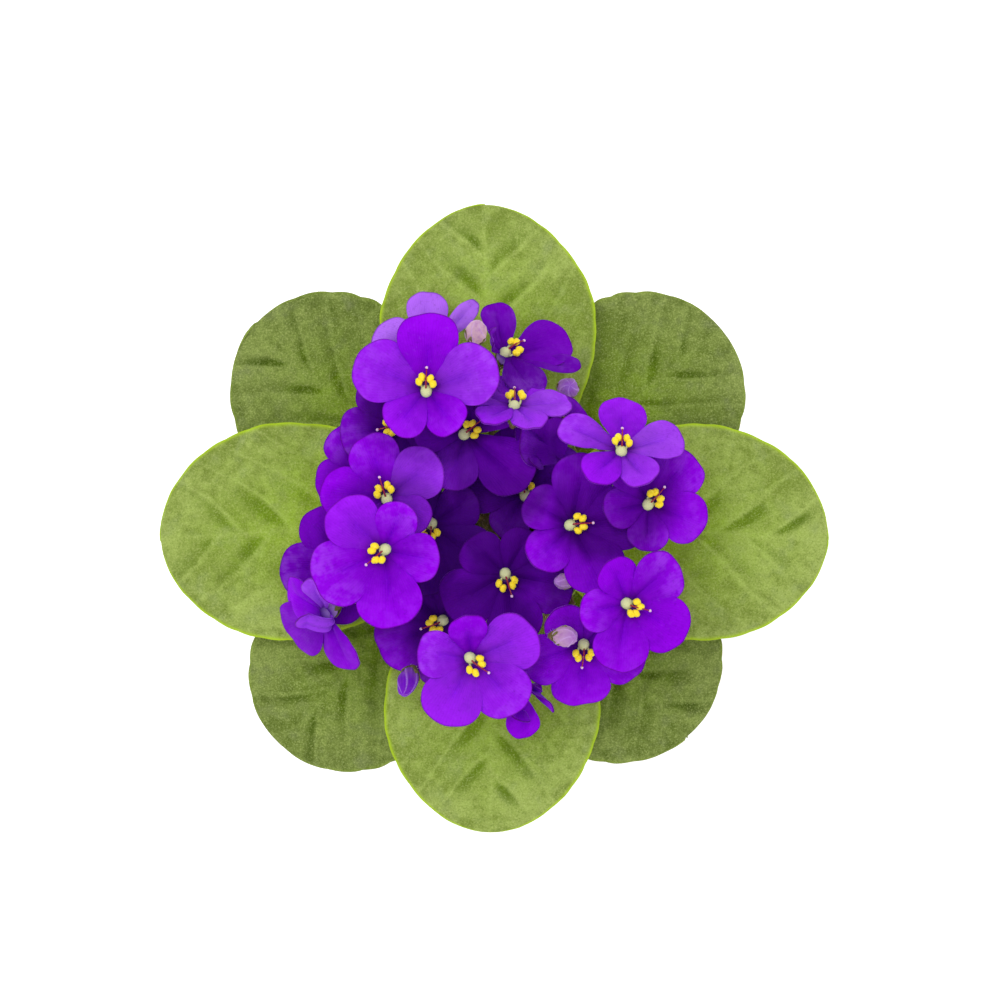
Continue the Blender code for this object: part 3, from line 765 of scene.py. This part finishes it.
def veins_of(kind, along, side, left, length, seed):
    """For each point: its distance to the midrib and to the nearest side vein, how strong that vein is there,
    how near the middle between two veins it is, and how far beyond the last vein."""
    ahead = along - VEIN_SLOPE * side - VEIN_CURVE * side**2
    phase = (ahead - VEIN_FIRST) / VEIN_STEP + 0.10 * np.sin(side * 7 + seed) + VEIN_SHIFT * left
    off = np.abs(phase - np.round(phase))
    strength = np.clip(1.15 - side, 0, 1) * np.clip(phase + 0.6, 0, 1) * np.clip(LAST_VEIN - phase, 0, 1)
    to_vein = off * VEIN_STEP * length * VEIN_SLANT
    return Veins(side * kind.width / 2, to_vein, strength, np.sin(np.pi * off) ** 2, phase - np.floor(phase))


def quilting(x, y, along, side, veins, fine, seed):
    """How far the blade's skin stands up between its veins and sinks along them."""
    relief = -0.8 * np.exp(-((veins.to_rib / (1.1 * fine)) ** 2)) * (1.05 - along) ** 0.6
    relief -= 0.28 * np.exp(-((veins.to_vein / (1.1 * fine)) ** 2)) * veins.strength
    off_rib = 1 - np.exp(-((veins.to_rib / (4 * fine)) ** 2))
    relief += 0.8 * veins.between * np.clip(1 - side**2, 0, 1) * off_rib
    relief += 0.36 * ripple(x, y, seed + 5, 6.0 * fine) + 0.40 * ripple(x, y, seed + 9, 14 * fine)
    return relief


def hollows(x, y, side, veins, fine, seed):
    """The hollow just ahead of each place where a side vein leaves the midrib; the finish darkens it as
    painted shade.
    """
    opening = np.clip((veins.to_rib / fine - 0.6) / 2.5, 0, 1) * np.exp(-((veins.to_rib / fine / 9.0) ** 2))
    fall = np.exp(-((np.clip(veins.ahead - 0.14, 0, 1) / (0.16 + 0.55 * side)) ** 2))
    wedge = fall * np.clip((veins.ahead - 0.03) / 0.09, 0, 1) * opening * np.clip(veins.strength * 1.3, 0, 1)
    return wedge * np.clip(0.95 + 0.90 * ripple(x, y, seed + 21, 15 * fine), 0.15, 1.6)


def make_blade(kind, tip, length, seed):
    """The quilted blade of a leaf that points along x, with the marks that its finish reads."""
    fine = kind.width / FULL_WIDTH
    blade, u, v = sheet(kind.columns, kind.rows)
    along = (1 - np.cos(np.pi * v)) / 2
    across = -np.sin(u * np.pi / 2)
    half = blade_outline(along, tip) * kind.width / 2
    teeth = kind.teeth * np.abs(np.sin(along * 34 + 0.5 * np.sin(along * 9 + seed))) * np.abs(across) ** 14
    y = across * (half + teeth * (half > 2))
    y = y + 0.35 * fine * ripple(along * 60, across * 3, seed, 22) * np.abs(across)
    x = kind.base_r + length * along
    side = np.abs(y) / (kind.width / 2)
    veins = veins_of(kind, along, side, across < 0, length, seed)
    hollow = hollows(x, y, side, veins, fine, seed)
    wave = 0.7 * ripple(x, y, seed + 3, 26 * fine) * np.abs(across) ** 3
    relief = quilting(x, y, along, side, veins, fine, seed) + wave
    z = spine_height(kind, along) + 0.35 - kind.droop * side**2 + relief * min(1.0, fine + 0.15)
    z -= 0.5 * np.clip(hollow, 0, 1) * min(1.0, fine + 0.1)
    set_points(blade, np.column_stack([x, y, z]) * MM)
    # how deep each hollow is, for the finish to paint shade into
    mark(blade, "hollow", np.clip(1.5 * hollow, 0, 1))
    # the swells between the veins, which the finish lightens as a painted highlight
    mark(blade, "swell", np.clip(veins.between * (1 - side), 0, 1))
    ribs = np.exp(-((veins.to_rib / (0.7 * fine)) ** 2)) * (1.2 - along)
    ribs += 0.9 * np.exp(-((veins.to_vein / (0.6 * fine)) ** 2)) * veins.strength
    mark(blade, "vein", np.clip(ribs, 0, 1))
    to_edge = half * (1 - np.abs(across))
    mark(blade, "rim", np.exp(-((to_edge / (0.75 * fine)) ** 2)) * kind.rim)
    # the blade's yellow-green foot, widened to carry painted light into the flowers' shadow
    mark(blade, "base", np.clip(np.exp(-((along / 0.62) ** 2)) * (1.2 - side), 0, 1))
    return blade


def thicken(blade, fine):
    """Gives a blade its thickness, thinner toward the rim, and marks its underside."""
    weld(blade)
    group = blade.vertex_groups.new(name="thick")
    for i, share in enumerate(marks_of(blade, "rim")):
        group.add([i], 1 - 0.8 * share, "REPLACE")
    thickness = BLADE_THICKNESS * MM * (0.45 + 0.55 * fine)
    apply(blade, "SOLIDIFY", thickness=thickness, offset=-1.0, vertex_group="thick")
    mark(blade, "under", np.clip(-normals_of(blade)[:, 2] * 3, 0, 1))


def make_leaf(node, kind, material, seed):
    """A whole leaf, as long as its CAD node and turned to the same heading."""
    end = farthest(node)
    length = math.hypot(end[0], end[1]) / MM - kind.base_r
    tip = TIPS.get(node, POINTED_TIP if kind is YOUNG else ROUND_TIP)
    blade = make_blade(kind, tip, length, seed)
    thicken(blade, kind.width / FULL_WIDTH)
    leaf = joined(node + "_grown", [blade, petiole(kind, length)])
    placed(leaf, Matrix.Rotation(math.atan2(end[1], end[0]), 3, "Z"), (0, 0, 0))
    return finished(leaf, node + "_grown", material, [node])


def farthest(node):
    """The CAD node's point that is farthest from the upright axis."""
    points = points_of(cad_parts[node])
    return points[np.argmax(np.hypot(points[:, 0], points[:, 1]))]


def petiole(kind, length):
    """The leaf's stem, from the crown to a rib that dies away under the blade."""
    root_r = CROWN_RADIUS + GAP + kind.petiole * 0.3
    start = (root_r, 0, kind.root_z)
    along = np.linspace(0.03, PETIOLE_SHARE, 12)
    height = spine_height(kind, along) - kind.petiole * 0.45
    under = np.column_stack([kind.base_r + length * along, 0 * along, height])
    root = bow(start, (root_r + 3, 0, kind.root_z + 3), under[0] - (3, 0, 2.2), under[0], 16)
    path = np.vstack([root[:-1], under])
    share = np.linspace(0, 1, len(path))
    radii = kind.petiole * (1.0 - 0.72 * share**2) * (1 + 0.04 * np.sin(share * 37))
    piece = stem(path, radii, 20)
    mark(piece, "stem", 1.0)
    return piece


# ---- flowers

def axis_of(flower):
    lean, toward = math.radians(flower.lean), math.radians(flower.toward)
    return Vector((math.sin(lean) * math.cos(toward), math.sin(lean) * math.sin(toward), math.cos(lean)))


def stood(axis):
    """The turn that stands an upright piece along an axis."""
    return np.array(Vector(axis).to_track_quat("Z", "Y").to_matrix())


def attitude(flower):
    """Leans a flower's axis and turns its lip lobe to its heading."""
    toward = Matrix.Rotation(math.radians(flower.toward), 3, "Z")
    lean = Matrix.Rotation(math.radians(flower.lean), 3, "Y")
    return toward @ lean @ Matrix.Rotation(math.radians(flower.lip - flower.toward), 3, "Z")


def throat_of(node, flower):
    """The middle of a corolla's mouth, from the end of the CAD node's tube."""
    axis = np.array(axis_of(flower))
    points = points_of(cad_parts[node])
    return points[np.argmin(points @ axis)] / MM + axis * TUBE_LENGTH


def middle_of(node, axis):
    """The middle of a CAD bud between its two ends."""
    points = points_of(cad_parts[node])
    along = points @ np.array(axis)
    return (points[np.argmin(along)] + points[np.argmax(along)]) / 2 / MM


def make_lobe(flower, heading, length, fold, rng):
    """One rounded, softly waved lobe of a corolla, fanning out from the throat."""
    piece, u, s = sheet(30, 30)
    t = -np.sin(u * np.pi / 2)
    length = length * flower.size * fold.stretch * rng.uniform(0.97, 1.03)
    outer = length * (NOTCH + (1 - NOTCH) * np.clip(1 - np.abs(t) ** 2.4, 0, 1) ** 0.55)
    outer *= 1 + 0.014 * np.sin(t * 4.5 + rng.uniform(0, 6)) + 0.005 * np.sin(t * 12 + rng.uniform(0, 6))
    radius = THROAT_RADIUS + (outer - THROAT_RADIUS) * np.sin(s * np.pi / 2) ** 0.9
    sweep = np.radians(LOBE_SWEEP) * t * (1 - (1 - fold.narrow) * np.clip(radius / 8, 0, 1))
    share = radius / length
    away = radius * np.sin(sweep)
    rise = flower.cup * (radius / CUP_RADIUS) ** 2
    rise += OVERLAP * t * np.clip(share * 1.5, 0, 1)
    rise -= 0.75 * np.exp(-((away / 1.2) ** 2)) * np.clip(1.15 - share, 0, 1) * np.clip(share * 3, 0, 1)
    rise += 0.85 * np.sin(np.pi * np.abs(t)) * np.sin(np.pi * np.clip(share, 0, 1))
    rise -= rng.uniform(0.2, 1.5) * share**4
    rise += rng.uniform(0.35, 0.7) * share**3 * np.sin(rng.uniform(2.4, 4.2) * t + rng.uniform(0, 6))
    rise += 0.26 * ripple(radius, away, int(rng.integers(1e6)), 5.5) * share
    turn = math.radians(heading + fold.turn)
    x, rise = folded(radius * np.cos(sweep), rise, fold.lift)
    points = np.column_stack([
        x * math.cos(turn) - away * math.sin(turn), x * math.sin(turn) + away * math.cos(turn), rise,
    ])
    set_points(piece, points * MM)
    mark(piece, "along", np.clip(share, 0, 1))
    mark(piece, "tone", rng.normal(0.0, 0.035) + fold.tone)
    mark(piece, "gleam", rng.uniform(0, 1) ** 2)
    mark(piece, "streak", t * (0.6 + 0.4 * share))
    mark(piece, "rim", np.exp(-(((outer - radius) / 0.28) ** 2)) * np.clip(share * 1.6 - 0.4, 0, 1))
    return piece


def folded(x, rise, lift):
    """Folds a lobe up over the throat, about its foot."""
    out = np.clip(x - THROAT_RADIUS, 0, None)
    bend = math.radians(lift) * np.clip((x - THROAT_RADIUS) / FOLD_LENGTH, 0, 1)
    reach = np.minimum(x, THROAT_RADIUS) + out * np.cos(bend) - rise * np.sin(bend)
    return reach, rise * np.cos(bend) + out * np.sin(bend * 0.8)


def make_tube():
    """A corolla's short closed tube, with a shallow dish at its mouth."""
    profile = [
        (0.0, -1.2), (1.0, -1.0), (1.6, -0.4), (THROAT_RADIUS + 0.25, 0.12), (THROAT_RADIUS + 0.5, -0.2),
        (TUBE_RADIUS + 0.15, -1.2), (TUBE_RADIUS - 0.2, -2.8), (1.5, -3.7), (0.0, -TUBE_LENGTH),
    ]
    tube = turned(divided(profile, 0.8), 32)
    depth = points_of(tube)[:, 2] / MM
    mark(tube, "throat", np.clip(-depth * 0.6, 0, 1) * 0.8)
    return tube


def make_corolla(node, flower, material, seed):
    rng = np.random.default_rng(seed)
    folds = FOLDS.get(node, {})
    lobes = [make_lobe(flower, *lobe, folds.get(place, PLAIN), rng) for place, lobe in enumerate(LOBES)]
    corolla = joined(node + "_grown", lobes)
    apply(corolla, "SOLIDIFY", thickness=PETAL_THICKNESS * MM, offset=-1.0)
    mark(corolla, "under", np.clip(-normals_of(corolla)[:, 2] * 4, 0, 1))
    corolla = joined(node + "_grown", [corolla, make_tube()])
    # the flower's painted shade and sheen, added to each lobe's own tone
    mark(corolla, "tone", marks_of(corolla, "tone") + flower.tone)
    placed(corolla, attitude(flower), throat_of(node, flower))
    mark(corolla, "deep", shaded(points_of(corolla) / MM, node))
    return finished(corolla, node + "_grown", material, [node])


def shaded(points, node):
    """How far each point lies beneath the flowers that overlap it, from 0 to 1."""
    deep = np.zeros(len(points))
    for other, above in FLOWERS.items():
        if other == node:
            continue
        axis = np.array(axis_of(above))
        away = points - throat_of(other, above)
        under = -(away @ axis)
        flat = np.linalg.norm(away + under[:, None] * axis, axis=1)
        cover = np.clip((CUP_RADIUS * above.size - flat) / SHADE_REACH / 2 + 0.5, 0, 1)
        deep = np.maximum(deep, cover * np.clip((under - SHADE_GAP) / SHADE_DEPTH, 0, 1))
    return deep


def make_anther(side, spread, rng):
    """One double anther on its short stalk, as (piece, mark) pairs."""
    centre = np.array([2.1 + rng.uniform(-0.3, 0.3), side * 1.65 * spread, 2.0 + rng.uniform(-0.2, 0.3)])
    root, top = (0.2, side * 0.9, -0.4), centre - (0, 0, 0.3)
    path = bow(root, (0.9, side * 1.5, 0.2), (1.2, side * 1.6, 0.9), top, 8)
    made = [(stem(path, [0.32] * len(path), 8), OVARY_MARK)]
    for step, out in ((0.75, -0.35), (-0.75, 0.45)):
        lobe = ball((0, 0, 0), (1.22, 0.98, 0.95), 16, 10)
        points = points_of(lobe) / MM
        points += 0.10 * ripple(points[:, 0], points[:, 1], int(rng.integers(1e6)), 1.3)[:, None]
        turn = np.array(Matrix.Rotation(side * rng.uniform(0.1, 0.7), 3, "Z"))
        ahead, aside = step + rng.uniform(-0.1, 0.1), side * (out + rng.uniform(-0.1, 0.1))
        offset = (ahead, aside, rng.uniform(-0.15, 0.25))
        set_points(lobe, (points @ turn.T + centre + offset) * MM)
        made.append((lobe, ANTHER_MARK))
    return made


def make_heart(node, flower, material, seed):
    """Ovary, two double anthers on short stalks and a long style with its stigma."""
    rng = np.random.default_rng(seed + 500)
    made = [(ball((-0.6, 0, 0.1), (1.75, 1.6, 1.6), 20, 14), OVARY_MARK)]
    spread = rng.uniform(0.85, 1.1)
    for side in (-1, 1):
        made += make_anther(side, spread, rng)
    swing = rng.uniform(-0.9, 1.6)
    style = bow((-0.2, 0, 1.0), (0.6, 0.1, 2.6), (2.8, swing * 0.6, 3.1), (5.6, swing, 2.5), 14)
    made.append((stem(style, np.linspace(0.26, 0.17, len(style)), 8), STYLE_MARK))
    made.append((ball(style[-1], (0.42, 0.42, 0.36), 12, 8), STIGMA_MARK))
    for piece, part in made:
        mark(piece, "part", part)
    heart = joined(node + "_heart", [piece for piece, _ in made])
    placed(heart, attitude(flower), throat_of(node, flower))
    return finished(heart, node.replace("corolla", "heart"), material)


def sepals(root, axis, seed, size=1.0):
    """Five narrow green sepals that hug the foot of a flower or bud."""
    rng = np.random.default_rng(seed)
    made = []
    stand = stood(axis)
    for k in range(5):
        piece, u, s = sheet(6, 14)
        width = 0.95 * size * np.sin(np.pi * np.clip(s * 0.86 + 0.14, 0, 1)) ** 0.8
        length = rng.uniform(4.2, 5.4) * size
        out = (1.25 + 1.5 * np.sin(s * 1.35)) * size
        set_points(piece, np.column_stack([out - 0.25 * u**2, -u * width, s * length * 0.78]) * MM)
        weld(piece)
        edit(piece, (bpy.ops.mesh.flip_normals, {}))
        apply(piece, "SOLIDIFY", thickness=0.28 * MM, offset=0.0)
        turn = np.array(Matrix.Rotation(2 * math.pi * k / 5 + rng.uniform(-0.15, 0.15), 3, "Z"))
        placed(piece, stand @ turn, root)
        mark(piece, "sepal", 1.0)
        mark(piece, "stem", 1.0)
        made.append(piece)
    return made


def make_stalk(node, material, blooms, seed):
    """A stalk with its side stalks, smoothed from the CAD, with sepals under its flowers and short hairs."""
    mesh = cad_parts[node].data.copy()
    mesh.materials.clear()
    stalk = linked(node + "_grown", mesh)
    weld(stalk, 0.01)
    apply(stalk, "REMESH", mode="VOXEL", voxel_size=VOXEL * MM)
    apply(stalk, "SMOOTH", factor=0.5, iterations=5)
    parts = [stalk, hairs(stalk, seed)]
    for bloom in blooms:
        flower = FLOWERS[bloom]
        axis = np.array(axis_of(flower))
        foot = throat_of(bloom, flower) - axis * (TUBE_LENGTH + 1.6)
        parts += sepals(foot, axis, seed + len(parts), 0.95)
    stalk = joined(node + "_grown", parts)
    return finished(stalk, node + "_grown", material, [node])


def hairs(stalk, seed, count=420, length=0.9):
    """Short pale hairs standing out from a stalk."""
    rng = np.random.default_rng(seed)
    points, normals = points_of(stalk) / MM, normals_of(stalk)
    chosen = rng.choice(len(points), min(count, len(points)), replace=False)
    corners, faces = [], []
    for i in chosen:
        out = normals[i] + rng.normal(0, 0.25, 3)
        out /= np.linalg.norm(out)
        side = np.cross(out, (0.3, 0.5, 0.8))
        side /= np.linalg.norm(side)
        other = np.cross(out, side)
        foot = points[i] - out * 0.1
        start = len(corners)
        for k in range(3):
            turn = 2 * math.pi * k / 3
            corners.append(foot + 0.05 * (math.cos(turn) * side + math.sin(turn) * other))
        corners.append(foot + out * length * rng.uniform(0.6, 1.2))
        faces += [tuple(start + k for k in corner) for corner in ((0, 1, 3), (1, 2, 3), (2, 0, 3), (0, 2, 1))]
    mesh = bpy.data.meshes.new("hairs")
    mesh.from_pydata([tuple(corner * MM) for corner in corners], [], faces)
    piece = linked("hairs", mesh)
    mark(piece, "hair", 1.0)
    return piece


def make_bud(node, bud, material, seed):
    """A bud whose five petals are still wrapped round one another, in its sepals."""
    axis = axis_of(bud)
    place = middle_of(node, axis)
    bpy.ops.mesh.primitive_uv_sphere_add(segments=60, ring_count=40, radius=1.0)
    skin = bpy.context.object
    points = points_of(skin)
    turn = np.arctan2(points[:, 1], points[:, 0])
    wrap = (turn * 5 / (2 * np.pi) + 0.55 * points[:, 2] + 0.12 * seed) % 1.0
    lap = np.clip(wrap * 1.02, 0, 1) ** 2 * np.clip((1 - wrap) * 14, 0, 1)
    narrow = 1 - 0.25 * (points[:, 2] + 1) / 2
    radius = bud.radius * narrow * (0.90 + 0.14 * lap) * (1 + 0.03 * np.sin(turn * 15 + points[:, 2] * 6))
    local = np.column_stack([points[:, 0] * radius, points[:, 1] * radius, points[:, 2] * bud.length / 2])
    set_points(skin, local * MM)
    mark(skin, "edge", np.clip((lap - 0.6) * 2.5, 0, 1))
    mark(skin, "tone", np.clip(bud.tone + 0.25 * points[:, 2], 0, 1))
    placed(skin, stood(axis), place)
    foot = place - np.array(axis) * (bud.length / 2 + 0.2)
    piece = joined(node + "_grown", [skin] + sepals(foot, axis, seed, bud.radius / 3.0))
    return finished(piece, node + "_grown", material, [node])


def blooms_by_stalk():
    """The corollas that each stalk carries, by which stalk comes nearest to a corolla's foot."""
    stalks = [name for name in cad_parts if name.startswith("flower_stalk_")]
    clouds = {name: points_of(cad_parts[name]) / MM for name in stalks}
    carried = {name: [] for name in stalks}
    for bloom, flower in FLOWERS.items():
        foot = throat_of(bloom, flower) - np.array(axis_of(flower)) * (TUBE_LENGTH + GAP)
        near = min(stalks, key=lambda name: np.linalg.norm(clouds[name] - foot, axis=1).min())
        carried[near].append(bloom)
    return carried


# ---- stage

def make_stage():
    bpy.ops.mesh.primitive_plane_add(size=FLOOR_SIZE, location=(0, 0, -0.0002))
    floor = bpy.context.object
    floor.name = "studio_floor"
    paper = Finish("studio_paper")
    tone = paper.place.grain(30, 2).mixed(colour(252, 252, 252), colour(249, 249, 249))
    floor.data.materials.append(paper.done(
        Base_Color=tone, Roughness=0.9, Specular_IOR_Level=0.0, Emission_Color=(1, 1, 1, 1),
        Emission_Strength=FLOOR_GLOW,
    ))
    world = bpy.data.worlds.new("studio_air")
    bpy.context.scene.world = world
    world.use_nodes = True
    background = world.node_tree.nodes["Background"]
    background.inputs["Color"].default_value = (1, 1, 1, 1)
    background.inputs["Strength"].default_value = AIR_STRENGTH
    for lamp in LAMPS:
        hang(lamp)


def hang(lamp):
    """Hangs a soft round lamp that faces the plant."""
    light = bpy.data.lights.new(lamp.name, "AREA")
    light.shape = "DISK"
    light.size = lamp.size
    light.energy = lamp.power
    hung = linked(lamp.name, light)
    hung.location = lamp.place
    hung.rotation_euler = (-Vector(lamp.place)).to_track_quat("-Z", "Y").to_euler()


def make_camera():
    camera = bpy.data.cameras.new("view")
    camera.lens = LENS
    camera.sensor_width = SENSOR
    camera.clip_start = 0.05
    camera.clip_end = 20.0
    holder = linked("view", camera)
    holder.location = Vector(VIEW_PLACE) * MM
    bpy.context.scene.camera = holder


def make_leaves():
    diagonals = ("leaf_north_east", "leaf_north_west", "leaf_south_west", "leaf_south_east")
    kinds = {
        "upper_leaf": (UPPER, UPPER_TONES, ("leaf_east", "leaf_north", "leaf_west", "leaf_south")),
        "lower_leaf": (LOWER, LOWER_TONES, diagonals),
        "young_leaf": (YOUNG, YOUNG_TONES, tuple(f"young_leaf_{i}" for i in range(1, 5))),
    }
    seed = SEED_OF_LEAVES
    for slot, (kind, tones, nodes) in kinds.items():
        skin = leaf_finish(slot + "_skin", tones)
        for node in nodes:
            make_leaf(node, kind, skin, seed)
            seed += 1


def make_flowers():
    petals = petal_finish("violet_petal")
    hearts = heart_finish()
    for seed, (node, flower) in enumerate(FLOWERS.items(), SEED_OF_FLOWERS):
        make_corolla(node, flower, petals, seed)
        if node not in HEARTLESS:
            make_heart(node, flower, hearts, seed)
    skin = stalk_finish()
    for number, (node, blooms) in enumerate(blooms_by_stalk().items()):
        make_stalk(node, skin, blooms, SEED_OF_STALKS + 20 * number)
    wrapped = bud_finish()
    for seed, (node, bud) in enumerate(BUDS.items(), SEED_OF_BUDS):
        make_bud(node, bud, wrapped, seed)


def main():
    bpy.context.scene.view_settings.view_transform = "Standard"
    make_pot(clay_finish())
    peat = mix_finish()
    make_mix(peat)
    scatter("mix_crumbs", CRUMBS, peat, sizes=(0.6, 2.1), flatness=0.7, seed=11)
    scatter("perlite_grains", PERLITE, perlite_finish(), sizes=(0.6, 1.5), flatness=0.85, seed=12)
    make_crown(crown_finish())
    make_leaves()
    make_flowers()
    make_stage()
    make_camera()


main()
